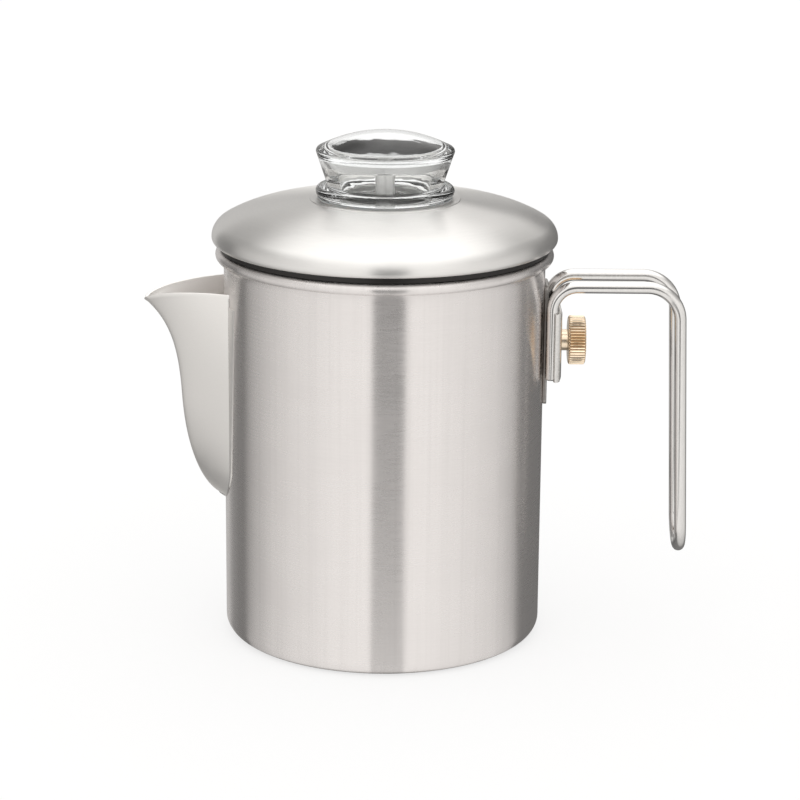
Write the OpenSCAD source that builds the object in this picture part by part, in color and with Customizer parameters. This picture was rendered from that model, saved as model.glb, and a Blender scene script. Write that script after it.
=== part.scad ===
// Stovetop coffee percolator for camping: a drawn steel pot with a sheet spout, a rod handle held
// by a thumbscrew clamp, a spun lid with a hollow glass knob, and the pump and basket inside.
// The origin is the centre of the pot's base, on the surface that it stands on. +Z is up, +X points
// to the handle and -X to the spout. Lengths are in millimetres and angles in degrees.

/* [Pot] */
// Outside radius of the pot's wall
pot_r = 52.5; // [52:0.1:53]
// Thickness of the pot's sheet
pot_wall = 0.8; // [0.6:0.1:0.9]
// Outside radius of the corner between base and wall
base_corner = 4.7; // [3:0.1:6]
// Outside radius of the rolled bead at the rim
rim_r = 55.2; // [55:0.1:55.5]
// Radius of the bead's round section
bead_r = 1.75; // [1.6:0.05:1.75]
// Height of the centre of the bead
bead_z = 128; // [127.5:0.1:128]
// Diameter of the strainer holes behind the spout
strainer_d = 2.6; // [1.5:0.1:3]

/* [Spout] */
// Half of the spout's width where it joins the pot
spout_half_w = 16; // [14:0.5:17]
// Distance from the pot's axis to the tip of the spout
spout_tip_x = 78.4; // [76:0.1:80]
// Height of the tip of the spout
spout_tip_z = 111.8; // [110:0.1:113]
// Rise of the spout's open edge from its tip to the pot
spout_edge_rise = 5.2; // [4:0.1:6]
// Height of the lowest point of the spout
spout_low_z = 45.4; // [44:0.1:48]
// Depth of the spout's straight lower part in front of the pot's wall
spout_depth = 13.6; // [12:0.1:15]
// Thickness of the spout's sheet
spout_wall = 0.8; // [0.6:0.1:1]

/* [Handle and clamp] */
// Diameter of the handle's steel rod
rod_d = 4; // [3.8:0.1:4]
// Distance from the middle plane to each rod
rod_y = 9; // [9:0.1:9.5]
// Distance from the pot's axis to the legs that the clamp holds
leg_x = 54.7; // [54.7:0.1:55]
// Height of the legs' lower ends
leg_end_z = 87.7; // [84:0.1:89]
// Height of the handle's top rods
top_rod_z = 118.9; // [118:0.1:119]
// Distance from the pot's axis to the grip's rods, just under the bend above them
grip_x = 96.4; // [92:0.1:105]
// Lean of the grip away from the pot towards its lower end, in degrees
grip_lean = 1.9; // [0:0.1:4]
// Length of the grip's straight rods
grip_l = 70.6; // [50:0.1:80]
// Bend radius above the legs, at the middle of the rod
leg_bend_r = 8; // [7:0.5:9]
// Bend radius above the grip, at the middle of the rod
grip_bend_r = 11; // [9:0.5:13]
// Height of the thumbscrew's axis
screw_z = 99; // [98:0.1:100]
// Diameter of the thumbscrew's knurled head
screw_head_d = 16.2; // [14:0.1:17]
// Number of ridges around the knurled head
screw_ridges = 48; // [36:1:60]
// Thickness of the clamp's sheet
clamp_t = 1.2; // [1:0.1:1.2]

/* [Lid and knob] */
// Largest radius of the lid
lid_r = 56.4; // [56:0.1:57]
// Height of the lid's widest line
lid_wide_z = 133.8; // [133.8:0.1:134.5]
// Thickness of the lid's sheet
lid_wall = 0.7; // [0.6:0.05:0.8]
// Largest radius of the glass knob's head
knob_r = 22.5; // [21.5:0.1:23]
// Radius of the glass knob's flange
flange_r = 22.6; // [22:0.1:23.5]
// Height of the top of the glass knob
knob_top_z = 168; // [167:0.1:169]

/* [Pump and basket] */
// Outside diameter of the pump tube
tube_d = 6.4; // [6:0.1:6.4]
// Height of the top of the pump tube
tube_top_z = 154.5; // [150:0.1:156]
// Outside radius of the pump bell
bell_r = 31; // [26:0.5:36]
// Outside radius of the basket's wall
basket_r = 37; // [32:0.5:38]
// Height of the basket's floor
basket_z = 78; // [78:0.1:80]
// Height of the basket's top edge
basket_top_z = 120; // [119:0.1:120]

/* [Hidden] */
$fn = 96;
eps = 0.01;
bench = 200;

// Pot
pot_in_r = pot_r - pot_wall;
bead_x = rim_r - bead_r;
rim_z = bead_z + bead_r;
wall_top_z = bead_z - bead_r + 0.25;
strainer_columns = 5;
strainer_rows = 8;
strainer_step_deg = 5;
strainer_step_z = 7;
strainer_z = 58;

// Bracket and clamp, all measured from the pot's axis
rod_r = rod_d / 2;
base_plate_t = 1.3;
base_plate_half_deg = 7;
base_plate_z = [78.5, 118.5];
plate_x = pot_r + base_plate_t;
nut_r = 5.2;
nut_x = plate_x + 1.8;
saddle_x = leg_x + rod_r + 0.05;
saddle_z = [87.5, 110.3];
saddle_hook_deg = 72;
shank_r = 2.05;
thread_r = 2.5;
plate_hole_r = 3.4;
neck_r = 3.5;
neck_x = saddle_x + clamp_t + 0.1;
head_x = neck_x + 2.45;
head_t = 5.6;

// Lid: three arcs from the rolled edge to the crown, each starting where the last one ends, and a
// flat seat under the knob
seat_z = 146.3;
edge_roll_r = 1.8;
shoulder_r = 5.7;
shoulder_deg = 60.4;
haunch_r = 41;
haunch_deg = 78;
shoulder_c = [lid_r - shoulder_r, lid_wide_z];
haunch_c = shoulder_c + (shoulder_r - haunch_r) * [cos(shoulder_deg), sin(shoulder_deg)];
haunch_end = haunch_c + haunch_r * [cos(haunch_deg), sin(haunch_deg)];
crown_r = haunch_end[0] / cos(haunch_deg);
crown_c = [0, haunch_end[1] - crown_r * sin(haunch_deg)];
hem_in_r = 53.8;
ring_r = pot_in_r - 0.5;
ring_t = 0.6;
ring_low_z = 121.5;
ring_step_z = rim_z + 0.1;
thread_ring_r = 18.8;
thread_ring_t = 0.7;
seat_hole_r = 24.6;

// Knob
gasket_z = [seat_z + 0.05, seat_z + 0.58];
flange_z = seat_z + 0.6;
flange_t = 3.4;
flange_edge_r = 1.6;
knob_wide_z = 161.7;
knob_edge_r = 1.1;
waist_r = 18.7;
knob_crown_r = 47.3;
skirt_r = 16.7;
skirt_z = 142;
gasket_r = [19.6, 22];
knob_in_r = 14.9;
knob_in_wide_r = 18.8;
knob_in_top_z = 162.3;
knob_ceiling_z = 164.4;

// Pump and basket
tube_r = tube_d / 2;
tube_in_r = tube_r - 0.6;
sheet_t = 0.6;
slide_gap = 0.1;
bell_z = pot_wall + 0.1;
bell_h = 13;
bell_lip_w = 3;
bell_dome_r = ((bell_r - bell_lip_w) ^ 2 + bell_h ^ 2) / (2 * bell_h);
bell_hole_z = bell_z + bell_h - bell_dome_r + sqrt(bell_dome_r ^ 2 - tube_r ^ 2);
tube_low_z = bell_hole_z - 0.6;
ferrule_top_z = bell_hole_z + 6;
stop_z = [basket_z - 4, basket_z - 1];
sleeve_in_r = tube_r + slide_gap;
sleeve_r = sleeve_in_r + sheet_t;
basket_bead_r = 0.7;
basket_corner = 4;
plate_z = basket_top_z + 0.1;
plate_r = basket_r + 2 * basket_bead_r + 0.35 + sheet_t;
collar_r = sleeve_in_r + 1;

steel = "silver";
satin = "lightgray";

// ---- Pot ----------------------------------------------------------------------------------

// Half section of the cup, made smaller all round by inset
module cup_2d(inset, top) {
    translate([0, base_corner]) square([pot_r - inset, top - base_corner]);
    translate([0, inset]) square([pot_r - base_corner, base_corner - inset + eps]);
    translate([pot_r - base_corner, base_corner]) circle(r = base_corner - inset);
}

// The holes lie in rows, and every other row is shifted by half a step
module strainer_holes() {
    for (row = [0 : strainer_rows - 1], col = [0 : strainer_columns - 1 - row % 2]) {
        turn = (col - (strainer_columns - 1 - row % 2) / 2) * strainer_step_deg;
        rotate([0, 0, 180 + turn])
            translate([pot_in_r - 2, 0, strainer_z + row * strainer_step_z])
                rotate([0, 90, 0])
                    cylinder(h = 4, d = strainer_d);
    }
}

module pot_body() {
    color(steel)
        difference() {
            rotate_extrude()
                difference() {
                    cup_2d(0, wall_top_z);
                    cup_2d(pot_wall, rim_z);
                }
            strainer_holes();
        }
}

// The wall's top edge, curled outwards: it carries on from the wall's own end face
module rim_bead() {
    color(steel)
        rotate_extrude()
            difference() {
                union() {
                    translate([bead_x, bead_z]) circle(r = bead_r);
                    translate([pot_in_r, wall_top_z]) square([pot_wall, bead_z - wall_top_z]);
                }
                translate([0, wall_top_z]) square([pot_in_r, bead_r * 3]);
            }
}

// ---- Spout --------------------------------------------------------------------------------

// The keel line: straight below, flared to the tip above, and rounded in to the pot at the bottom
spout_bend_z = 80;
spout_flare = spout_tip_x - pot_r - spout_depth;
spout_flare_h = 11;
function keel_belly(z) =
    let (s = max(0, (spout_bend_z - z) / (spout_bend_z - spout_low_z))) (1 - s ^ 2) ^ 0.55;
function keel_x(z) = pot_r + spout_depth * keel_belly(z)
    + spout_flare * exp((z - spout_tip_z) / spout_flare_h);

// Half width at the pot, which closes in an elliptical arc at the bottom
spout_close_z = 58;
function half_width(z) = spout_half_w
    * sqrt(1 - (max(0, spout_close_z - z) / (spout_close_z - spout_low_z)) ^ 2);

// The open edge rises from the tip towards the pot
function edge_z(u) = spout_tip_z + spout_edge_rise * (1 - (1 - abs(u)) ^ 2);

// A level section is a hyperbola: straight sides that meet in a rounded keel
keel_round = 2;
function section_point(y, z, w, keel, seam) =
    let (depth = keel - seam,
         a2 = max(0.02, (w ^ 2 - keel_round * depth) / depth ^ 2),
         back = (sqrt(keel_round ^ 2 + 4 * a2 * y ^ 2) - keel_round) / (2 * a2),
         x = max(keel - back, sqrt(seam_r ^ 2 - y ^ 2)))
    [-x, y, z];
seam_r = pot_r + 0.004;
function skin_point(u, v, inset) =
    let (low = spout_low_z + 0.5 + inset * 1.6,
         z = low + v * (edge_z(u) - low),
         w = max(1, half_width(z) - inset * 1.15),
         y = w * u,
         keel = max(keel_x(z) - inset * 1.6, seam_r + 0.3))
    section_point(y, z, w, keel, sqrt(seam_r ^ 2 - w ^ 2));

spout_across = 28;
spout_levels = 26;
function skin(inset) = [for (j = [0 : spout_levels], i = [0 : spout_across])
    skin_point(-1 + 2 * i / spout_across, (j / spout_levels) ^ 1.5, inset)];
row_len = spout_across + 1;
skin_len = row_len * (spout_levels + 1);

// The two skins, then the strips that join them below, above and at each seam
module pour_spout() {
    outer = [for (j = [0 : spout_levels - 1], i = [0 : spout_across - 1], half = [0, 1])
        let (a = j * row_len + i)
        half == 0 ? [a, a + 1, a + row_len + 1] : [a, a + row_len + 1, a + row_len]];
    inner = [for (f = outer) [f[0] + skin_len, f[2] + skin_len, f[1] + skin_len]];
    top = spout_levels * row_len;
    below = [for (i = [0 : spout_across - 1], half = [0, 1])
        half == 0 ? [i + 1, i, i + skin_len] : [i + 1, i + skin_len, i + 1 + skin_len]];
    above = [for (i = [0 : spout_across - 1], half = [0, 1])
        let (a = top + i)
        half == 0 ? [a, a + 1, a + 1 + skin_len] : [a, a + 1 + skin_len, a + skin_len]];
    seam_a = [for (j = [0 : spout_levels - 1], half = [0, 1])
        let (a = j * row_len)
        half == 0 ? [a, a + row_len, a + row_len + skin_len] : [a, a + row_len + skin_len, a + skin_len]];
    seam_b = [for (j = [0 : spout_levels - 1], half = [0, 1])
        let (a = j * row_len + spout_across)
        half == 0 ? [a, a + row_len + skin_len, a + row_len] : [a, a + skin_len, a + row_len + skin_len]];
    color(steel)
        polyhedron(
            points = concat(skin(0), skin(spout_wall)),
            faces = concat(outer, inner, below, above, seam_a, seam_b));
}

// ---- Bracket on the pot ---------------------------------------------------------------------

module bracket_base() {
    color(satin)
        difference() {
            rotate([0, 0, -base_plate_half_deg])
                rotate_extrude(angle = 2 * base_plate_half_deg)
                    translate([pot_r, base_plate_z[0]])
                        square([base_plate_t, base_plate_z[1] - base_plate_z[0]]);
            translate([pot_r - 2, 0, screw_z]) rotate([0, 90, 0]) cylinder(h = 6, r = plate_hole_r);
        }
}

// A round nut whose back is cut to the curve of the plate
module bracket_nut() {
    color(satin)
        difference() {
            translate([pot_r, 0, screw_z]) rotate([0, 90, 0]) cylinder(h = nut_x - pot_r, r = nut_r);
            cylinder(h = bench, r = plate_x);
            translate([pot_r - 2, 0, screw_z]) rotate([0, 90, 0]) cylinder(h = 9, r = thread_r);
        }
}

// ---- Handle -------------------------------------------------------------------------------

// Part of a ring in the XZ plane, about centre, from angle start through angle sweep
module rod_bend(centre, bend_r, start, sweep) {
    translate(centre)
        rotate([90, 0, 0])
            rotate([0, 0, start])
                rotate_extrude(angle = sweep)
                    translate([bend_r, 0]) circle(r = rod_r);
}

// The grip with the bends at both its ends, upright, about the centre of the upper bends
module grip_loop() {
    for (y = [-rod_y, rod_y]) {
        rod_bend([0, y, 0], grip_bend_r, 0, 90 - grip_lean);
        translate([grip_bend_r, y, -grip_l]) cylinder(h = grip_l, r = rod_r);
    }
    translate([grip_bend_r, 0, -grip_l])
        rotate([90, 0, 90])
            rotate([0, 0, 180])
                rotate_extrude(angle = 180)
                    translate([rod_y, 0]) circle(r = rod_r);
}

module handle_frame() {
    leg_top_z = top_rod_z - leg_bend_r;
    top_rod_l = grip_x - grip_bend_r - leg_x - leg_bend_r;
    color(steel)
        union() {
            for (y = [-rod_y, rod_y]) {
                translate([leg_x, y, leg_end_z])
                    cylinder(h = leg_top_z - leg_end_z, r = rod_r);
                rod_bend([leg_x + leg_bend_r, y, leg_top_z], leg_bend_r, 90, 90);
                translate([leg_x + leg_bend_r, y, top_rod_z])
                    rotate([0, 90, 0])
                        cylinder(h = top_rod_l, r = rod_r);
            }
            translate([grip_x - grip_bend_r, 0, top_rod_z - grip_bend_r])
                rotate([0, -grip_lean, 0])
                    grip_loop();
        }
}

// ---- Clamp --------------------------------------------------------------------------------

// Level section: a web across the two rods, with an edge hooked half way round each rod
module saddle_2d() {
    gap_r = saddle_x - leg_x;
    translate([saddle_x, -rod_y]) square([clamp_t, 2 * rod_y]);
    for (side = [-1, 1])
        translate([leg_x, side * rod_y])
            difference() {
                circle(r = gap_r + clamp_t);
                circle(r = gap_r);
                translate([-5, -5]) square([5, 10]);
                translate([0, side > 0 ? -10 : 0]) square([10, 10]);
                rotate([0, 0, side * saddle_hook_deg])
                    translate([-10, side > 0 ? 0 : -10]) square([20, 10]);
            }
}

// The tongue leans in between the rods above the web
module saddle_tongue() {
    lean = 1;
    rise = 3.5;
    half_w = rod_y - rod_r - 0.5;
    translate([0, half_w, 0])
        rotate([90, 0, 0])
            linear_extrude(height = 2 * half_w)
                polygon([[saddle_x, saddle_z[1]], [saddle_x + clamp_t, saddle_z[1]],
                    [saddle_x + clamp_t - lean, saddle_z[1] + rise],
                    [saddle_x - lean, saddle_z[1] + rise - 0.3]]);
}

module clamp_saddle() {
    chamfer = 3;
    color(satin)
        difference() {
            union() {
                translate([0, 0, saddle_z[0]])
                    linear_extrude(height = saddle_z[1] - saddle_z[0]) saddle_2d();
                saddle_tongue();
            }
            translate([saddle_x - 3, 0, screw_z]) rotate([0, 90, 0]) cylinder(h = 6, r = 2.75);
            // The lower outer edge is cut off at 45 degrees
            translate([saddle_x + clamp_t, -bench / 2, saddle_z[0] - chamfer / 2])
                rotate([0, 45, 0])
                    translate([-chamfer / 4, 0, -chamfer])
                        cube([chamfer * 2, bench, chamfer * 2]);
        }
}

// ---- Thumbscrew ---------------------------------------------------------------------------

// Straight knurl: an even zigzag between two radii
module knurl_2d(r, depth, count) {
    polygon([for (i = [0 : 2 * count - 1])
        (i % 2 == 0 ? r : r - depth) * [cos(i * 180 / count), sin(i * 180 / count)]]);
}

// The head's ends are chamfered by a blank that clears the ridges between its two cones
module thumbscrew() {
    head_r = screw_head_d / 2;
    edge = 0.8;
    tip_x = pot_r + 0.4;
    color("goldenrod")
        translate([0, 0, screw_z])
            rotate([0, 90, 0]) {
                translate([0, 0, tip_x]) cylinder(h = neck_x - tip_x + eps, r = shank_r);
                translate([0, 0, neck_x]) cylinder(h = head_x - neck_x + eps, r = neck_r);
                intersection() {
                    translate([0, 0, head_x])
                        linear_extrude(height = head_t) knurl_2d(head_r, 0.45, screw_ridges);
                    rotate_extrude()
                        polygon([[0, head_x], [head_r - edge, head_x], [head_r + edge, head_x + 2 * edge],
                            [head_r + edge, head_x + head_t - 2 * edge],
                            [head_r - edge, head_x + head_t], [0, head_x + head_t]]);
                }
            }
}

// The ring keeps the screw in the clamp when it is out of the pot's thread
module screw_retainer() {
    color(satin)
        translate([nut_x + 0.2, 0, screw_z])
            rotate([0, 90, 0])
                difference() {
                    cylinder(h = saddle_x - nut_x - 0.4, r = 4);
                    translate([0, 0, -1]) cylinder(h = 4, r = shank_r);
                }
}

// ---- Lid ----------------------------------------------------------------------------------

// The triangle that holds a disc's slice between two angles
module wedge(centre, from_deg, to_deg, far) {
    polygon([centre, centre + far * [cos(from_deg), sin(from_deg)],
        centre + far * [cos(to_deg), sin(to_deg)]]);
}

module slice(centre, r, from_deg, to_deg, far) {
    intersection() {
        translate(centre) circle(r = r, $fn = 360);
        wedge(centre, from_deg, to_deg, far);
    }
}

// Half section of the solid under the lid's skin, made smaller all round by inset. The arcs share
// their tangents, so an inset keeps their centres and only changes their radii.
module dome_2d(inset) {
    roll_x = lid_r - edge_roll_r;
    intersection() {
        union() {
            slice(crown_c, crown_r - inset, haunch_deg, 90, 2 * crown_r);
            slice(haunch_c, haunch_r - inset, shoulder_deg, haunch_deg, 2 * haunch_r);
            slice(shoulder_c, shoulder_r - inset, 0, shoulder_deg, 2 * shoulder_r);
        }
        translate([0, lid_wide_z]) square([lid_r, seat_z - inset - lid_wide_z]);
    }
    translate([0, lid_wide_z - edge_roll_r + inset]) square([roll_x, edge_roll_r - inset]);
    intersection() {
        translate([roll_x, lid_wide_z]) circle(r = edge_roll_r - inset);
        translate([roll_x - 0.1, lid_wide_z - edge_roll_r]) square([edge_roll_r + 0.2, edge_roll_r]);
    }
}

module lid_shell() {
    color(satin)
        rotate_extrude()
            difference() {
                dome_2d(0);
                dome_2d(lid_wall);
                translate([0, ring_low_z]) square([hem_in_r, lid_wide_z - ring_low_z]);
                translate([0, ring_low_z]) square([seat_hole_r, bench]);
            }
}

// A pressed ring: the skirt fits in the pot, the step rests on the rim, and the outer wall is
// held by the lid's hem
module lid_locating_ring() {
    outer_r = hem_in_r;
    color(satin)
        rotate_extrude() {
            translate([ring_r - ring_t, ring_low_z])
                square([ring_t, ring_step_z + ring_t - ring_low_z]);
            translate([ring_r - ring_t, ring_step_z]) square([outer_r - ring_r + ring_t, ring_t]);
            translate([outer_r - ring_t, ring_step_z])
                square([ring_t, lid_wide_z - edge_roll_r + lid_wall - ring_step_z]);
        }
}

// A turned collar: its flange is the flat seat in the crown, and the knob's thread turns in its wall
module lid_thread_ring() {
    low_z = 141.2;
    color(satin)
        rotate_extrude() {
            translate([thread_ring_r, low_z]) square([thread_ring_t, seat_z - low_z]);
            translate([thread_ring_r, seat_z - thread_ring_t])
                square([seat_hole_r - thread_ring_r, thread_ring_t]);
        }
}

// ---- Knob ---------------------------------------------------------------------------------

module knob_gasket() {
    color("dimgray")
        rotate_extrude()
            translate([gasket_r[0], gasket_z[0]])
                square([gasket_r[1] - gasket_r[0], gasket_z[1] - gasket_z[0]]);
}

// The head's top is a shallow crown with a small edge round it
module knob_head_2d() {
    edge_c = [knob_r - knob_edge_r, knob_wide_z];
    crown_z = knob_top_z - knob_crown_r;
    intersection() {
        translate([0, crown_z]) circle(r = knob_crown_r, $fn = 360);
        translate([0, knob_wide_z]) square([edge_c[0], 10]);
    }
    translate(edge_c) circle(r = knob_edge_r);
    polygon([[0, flange_z + 1], [waist_r, flange_z + 1], [waist_r, flange_z + flange_t + 0.6],
        [knob_r - 0.05, knob_wide_z - 0.3], [edge_c[0], knob_wide_z + 0.2], [0, knob_wide_z + 0.2]]);
}

module knob_flange_2d() {
    edge_x = flange_r - flange_edge_r;
    translate([0, flange_z]) square([edge_x, flange_t]);
    translate([edge_x, flange_z + flange_edge_r]) circle(r = flange_edge_r);
    translate([edge_x, flange_z + flange_t - flange_edge_r]) circle(r = flange_edge_r);
}

// The bubble space: straight through the skirt, then wider, under a domed ceiling with a round edge
module knob_hollow_2d() {
    top_round = 1.8;
    wide_z = knob_in_top_z - top_round - 0.4;
    corner_x = knob_in_wide_r - top_round;
    rise = knob_ceiling_z - wide_z;
    // the dome is tangent to the round edge
    dome_r = (corner_x ^ 2 + rise ^ 2 - top_round ^ 2) / (2 * (rise - top_round));
    touch_x = corner_x * dome_r / (dome_r - top_round);
    polygon([[0, skirt_z - 1], [knob_in_r, skirt_z - 1], [knob_in_r, flange_z + flange_t],
        [knob_in_wide_r, wide_z], [corner_x, wide_z + 0.2], [0, wide_z + 0.2]]);
    translate([corner_x, wide_z]) circle(r = top_round);
    intersection() {
        translate([0, knob_ceiling_z - dome_r]) circle(r = dome_r);
        translate([0, wide_z]) square([touch_x, rise + 1]);
    }
}

module glass_knob() {
    color("lightcyan", 0.5)
        rotate_extrude()
            difference() {
                union() {
                    knob_head_2d();
                    knob_flange_2d();
                    translate([0, skirt_z]) square([skirt_r, flange_z - skirt_z + 1]);
                }
                knob_hollow_2d();
            }
}

// ---- Pump ---------------------------------------------------------------------------------

module ring_2d(in_r, out_r, z0, z1) {
    translate([in_r, z0]) square([out_r - in_r, z1 - z0]);
}

module pump_tube() {
    color(steel) rotate_extrude() ring_2d(tube_in_r, tube_r, tube_low_z, tube_top_z);
}

// A dome with a flat lip, which stands on the pot's floor; holes above the lip let water in
module pump_bell() {
    dome_edge_r = bell_r - bell_lip_w;
    dome_c = [0, bell_z + bell_h - bell_dome_r];
    inlets = 6;
    color(steel)
        difference() {
            rotate_extrude() {
                difference() {
                    intersection() {
                        translate(dome_c) circle(r = bell_dome_r, $fn = 180);
                        ring_2d(tube_r, bell_r, bell_z, bell_z + bell_h);
                    }
                    translate(dome_c) circle(r = bell_dome_r - sheet_t, $fn = 180);
                }
                ring_2d(dome_edge_r - 0.5, bell_r, bell_z, bell_z + sheet_t);
            }
            for (i = [0 : inlets - 1])
                rotate([0, 0, i * 360 / inlets])
                    translate([dome_edge_r - 9, 0, bell_z + 3.5])
                        rotate([0, 90, 0])
                            cylinder(h = 10, r = 1.5);
        }
}

module tube_ferrule() {
    color(steel) rotate_extrude() ring_2d(tube_r, tube_r + 1.2, bell_hole_z, ferrule_top_z);
}

module basket_stop() {
    color(steel) rotate_extrude() ring_2d(tube_r, tube_r + 1.6, stop_z[0], stop_z[1]);
}

// ---- Basket and spreader ------------------------------------------------------------------

// Rings of small holes: one entry for each ring gives its radius and how many holes it has
module hole_rings(rings, z, d) {
    for (ring = rings, i = [0 : ring[1] - 1])
        rotate([0, 0, (i + 0.5) * 360 / ring[1]])
            translate([ring[0], 0, z - 1])
                cylinder(h = 3, d = d);
}

module basket_cup() {
    inner_r = basket_r - sheet_t;
    color(steel)
        difference() {
            rotate_extrude()
                difference() {
                    union() {
                        ring_2d(sleeve_r, basket_r - basket_corner, basket_z, basket_z + basket_corner);
                        ring_2d(sleeve_r, basket_r, basket_z + basket_corner,
                            basket_top_z - basket_bead_r);
                        translate([basket_r - basket_corner, basket_z + basket_corner])
                            circle(r = basket_corner);
                        translate([inner_r + basket_bead_r, basket_top_z - basket_bead_r])
                            circle(r = basket_bead_r);
                    }
                    ring_2d(0, inner_r, basket_z + basket_corner, basket_top_z + 1);
                    ring_2d(0, basket_r - basket_corner, basket_z + sheet_t,
                        basket_z + basket_corner + 1);
                    translate([basket_r - basket_corner, basket_z + basket_corner])
                        circle(r = basket_corner - sheet_t);
                }
            hole_rings([[10, 10], [17, 16], [24, 22]], basket_z, 1.8);
        }
}

module basket_sleeve() {
    color(steel)
        rotate_extrude() {
            ring_2d(sleeve_in_r, sleeve_r, stop_z[1] + 0.05, basket_top_z - 2);
            ring_2d(sleeve_in_r, sleeve_r + 2, stop_z[1] + 0.05, basket_z);
        }
}

module spreader_plate() {
    skirt_in_r = plate_r - sheet_t;
    color(satin)
        difference() {
            rotate_extrude() {
                ring_2d(collar_r, plate_r, plate_z, plate_z + sheet_t);
                ring_2d(skirt_in_r, plate_r, plate_z - 3, plate_z + sheet_t);
            }
            hole_rings([[12, 12], [20, 18], [28, 24]], plate_z, 1.8);
        }
}

module spreader_collar() {
    color(satin)
        rotate_extrude() {
            ring_2d(sleeve_in_r, collar_r, plate_z - 1.5, plate_z + 6);
            ring_2d(sleeve_in_r, collar_r + 2, plate_z + sheet_t, plate_z + 2 * sheet_t);
        }
}

pot_body();
rim_bead();
pour_spout();
bracket_base();
bracket_nut();
handle_frame();
clamp_saddle();
thumbscrew();
screw_retainer();
lid_shell();
lid_locating_ring();
lid_thread_ring();
knob_gasket();
glass_knob();
pump_tube();
pump_bell();
tube_ferrule();
basket_stop();
basket_cup();
basket_sleeve();
spreader_plate();
spreader_collar();
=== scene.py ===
"""Looks of the camping percolator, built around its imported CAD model. Lengths are in millimetres and
are turned to metres when a mesh is made, but materials, camera and studio are written in metres."""

import math

import bmesh
import bpy
from mathutils import Matrix, Vector


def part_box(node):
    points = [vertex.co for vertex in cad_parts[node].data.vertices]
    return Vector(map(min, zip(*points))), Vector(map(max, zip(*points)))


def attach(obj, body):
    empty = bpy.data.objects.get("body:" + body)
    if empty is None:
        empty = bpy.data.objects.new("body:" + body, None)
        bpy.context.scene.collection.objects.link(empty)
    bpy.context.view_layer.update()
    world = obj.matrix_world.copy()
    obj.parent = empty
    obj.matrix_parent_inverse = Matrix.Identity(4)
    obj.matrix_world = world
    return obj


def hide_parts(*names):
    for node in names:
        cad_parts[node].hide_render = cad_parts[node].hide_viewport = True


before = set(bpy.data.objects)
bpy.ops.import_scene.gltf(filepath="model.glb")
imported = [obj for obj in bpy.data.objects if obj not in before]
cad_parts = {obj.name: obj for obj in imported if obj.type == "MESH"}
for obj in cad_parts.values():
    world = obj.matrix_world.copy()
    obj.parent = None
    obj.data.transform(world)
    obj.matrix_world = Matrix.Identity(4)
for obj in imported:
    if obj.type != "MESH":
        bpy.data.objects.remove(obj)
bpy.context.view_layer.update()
MM = 0.001

# Sizes that more than one section uses
POT_R, WALL = 52.5, 0.8
INNER_R = POT_R - WALL
SCREW_Z = 99.0


# ---- Mesh tools ------------------------------------------------------------------------------


def arc(cx, cz, r, from_deg, to_deg, n):
    """Points along an arc, both ends included."""
    return [
        (cx + r * math.cos(math.radians(a)), cz + r * math.sin(math.radians(a)))
        for a in (from_deg + (to_deg - from_deg) * i / n for i in range(n + 1))
    ]


def rounded(points, radius, n=4):
    """A closed outline with its corners turned into short arcs. A point is (x, y), or (x, y, its own
    radius)."""
    out = []
    count = len(points)
    for i, point in enumerate(points):
        r = radius if len(point) < 3 else point[2]
        here = Vector(point[:2])
        a = Vector(points[i - 1][:2]) - here
        b = Vector(points[(i + 1) % count][:2]) - here
        if r <= 0 or a.length < 1e-9 or b.length < 1e-9:
            out.append(tuple(here))
            continue
        angle = a.angle(b)
        reach = min(r / math.tan(angle / 2), 0.49 * a.length, 0.49 * b.length)
        r = reach * math.tan(angle / 2)
        start, end = here + a.normalized() * reach, here + b.normalized() * reach
        centre = here + (a.normalized() + b.normalized()).normalized() * (r / math.sin(angle / 2))
        for k in range(n + 1):
            p = start.lerp(end, k / n) - centre
            out.append(tuple(centre + p.normalized() * r))
    return out


def make_object(name, verts, faces, sharp_deg=38):
    """A smooth shaded mesh object from points in millimetres."""
    mesh = bpy.data.meshes.new(name)
    mesh.from_pydata([tuple(c * MM for c in v) for v in verts], [], faces)
    bm = bmesh.new()
    bm.from_mesh(mesh)
    bmesh.ops.remove_doubles(bm, verts=bm.verts, dist=1e-7)
    bmesh.ops.recalc_face_normals(bm, faces=bm.faces)
    bm.to_mesh(mesh)
    bm.free()
    mesh.shade_smooth()
    mesh.set_sharp_from_angle(angle=math.radians(sharp_deg))
    obj = bpy.data.objects.new(name, mesh)
    bpy.context.scene.collection.objects.link(obj)
    return obj


def lathe_mesh(outline, steps, radius_at=None):
    """Vertices and faces of a closed (r, z) outline turned about Z. radius_at(r, z, turn) may change
    r."""
    verts, rings, faces = [], [], []
    for r, z in outline:
        if r < 1e-6:
            rings.append([len(verts)])
            verts.append((0, 0, z))
            continue
        ring = []
        for i in range(steps):
            a = 2 * math.pi * i / steps
            rr = radius_at(r, z, a) if radius_at else r
            ring.append(len(verts))
            verts.append((rr * math.cos(a), rr * math.sin(a), z))
        rings.append(ring)
    for a, b in zip(rings, rings[1:] + rings[:1]):
        if len(a) == 1 and len(b) == 1:
            continue
        for i in range(steps):
            j = (i + 1) % steps
            loop = [a[i % len(a)], a[j % len(a)], b[j % len(b)], b[i % len(b)]]
            faces.append(list(dict.fromkeys(loop)))
    return verts, faces


def lathe(name, outline, steps=240, radius_at=None, sharp_deg=38):
    """An object turned about the pot's axis from a closed (r, z) outline."""
    verts, faces = lathe_mesh(outline, steps, radius_at)
    return make_object(name, verts, faces, sharp_deg)


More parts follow.
